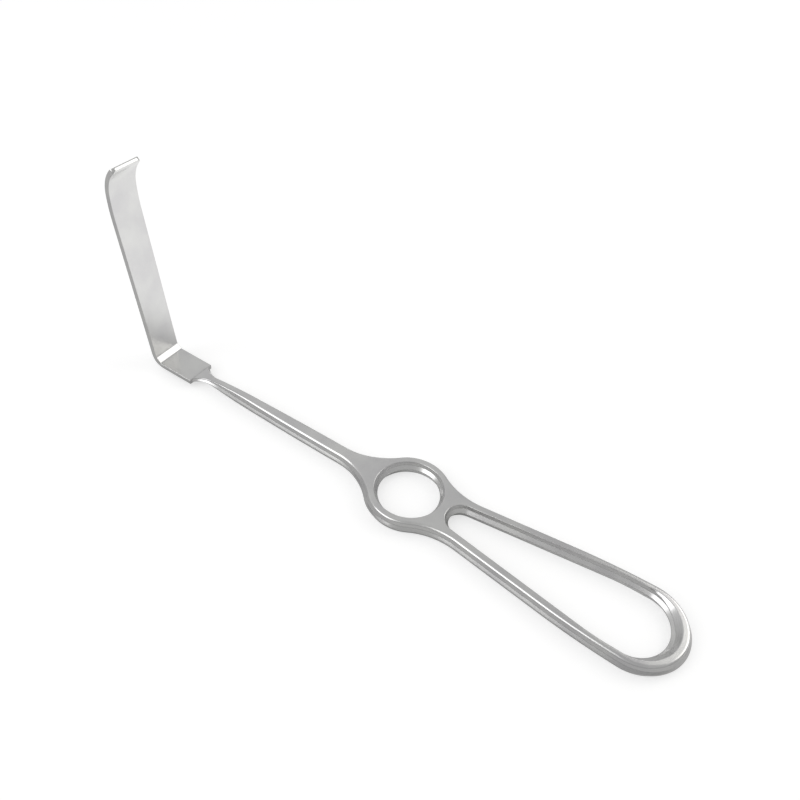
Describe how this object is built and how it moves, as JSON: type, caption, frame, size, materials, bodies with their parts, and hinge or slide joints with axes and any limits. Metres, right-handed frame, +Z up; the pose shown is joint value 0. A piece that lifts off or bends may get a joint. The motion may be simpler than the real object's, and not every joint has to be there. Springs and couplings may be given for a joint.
{
  "type": "handheld surgical retractor",
  "caption": "Stainless steel hand-held retractor: a long flat blade with a hooked lip, bent up from a slim shank with a finger ring and a long open loop handle.",
  "frame": {"origin": "centre of the finger ring's hole, on the plane that the handle rests on", "axes": "+X along the handle towards the loop end, +Z up, the way the blade rises; the XZ plane is the plane of symmetry"},
  "size_m": [0.2231, 0.0324, 0.0835],
  "materials": {
    "satin_steel": "satin ground stainless steel, brighter at the bend and along the edges"
  },
  "bodies": {
    "root": {"retractor": "satin_steel"}
  },
  "joints": []
}
